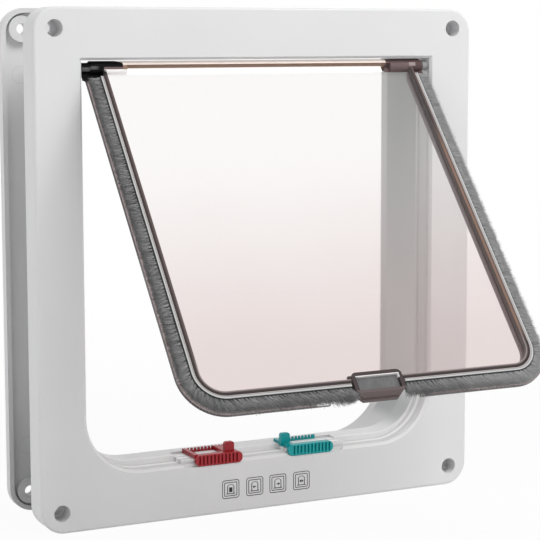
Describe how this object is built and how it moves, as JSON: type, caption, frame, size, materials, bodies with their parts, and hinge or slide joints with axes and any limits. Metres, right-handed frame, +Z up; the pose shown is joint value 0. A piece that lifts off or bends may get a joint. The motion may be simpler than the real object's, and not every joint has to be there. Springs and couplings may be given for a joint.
{
  "type": "cat flap",
  "caption": "Cat flap with a tinted swinging flap edged in pile, square light grey frames that clamp a door between them, and sliding locks on the threshold.",
  "frame": {"origin": "centre of the fixing screw pattern, on the door face that the inner frame bears on", "axes": "+X along the hinge to the right as seen from the inner side, +Y through the door to the outer side, +Z up"},
  "size_m": [0.236, 0.1743, 0.25],
  "materials": {
    "frame_plastic": "satin moulded",
    "flap_plastic": "clear smoke-tinted",
    "pile": "brushed pile",
    "magnet": "matt grey",
    "red_plastic": "glossy",
    "teal_plastic": "glossy"
  },
  "bodies": {
    "frame": {"inner_frame": "frame_plastic", "outer_frame": "frame_plastic", "threshold_magnet": "magnet"},
    "flap": {"flap_panel": "flap_plastic", "flap_magnet": "magnet", "pile_seal_left": "pile", "pile_seal_right": "pile"},
    "red_lock": {"red_lock_slider": "red_plastic"},
    "teal_lock": {"teal_lock_slider": "teal_plastic"}
  },
  "joints": [
    {"name": "flap_hinge", "type": "hinge", "parent": "frame", "child": "flap", "pos_m": [0, -0.0105, 0.096], "axis": [1, 0, 0], "range_deg": [-39.6, 120.4]},
    {"name": "red_slide", "type": "slide", "parent": "frame", "child": "red_lock", "axis": [-1, 0, 0], "range_m": [0, 0.0066]},
    {"name": "teal_slide", "type": "slide", "parent": "frame", "child": "teal_lock", "axis": [1, 0, 0], "range_m": [0, 0.0066]}
  ]
}
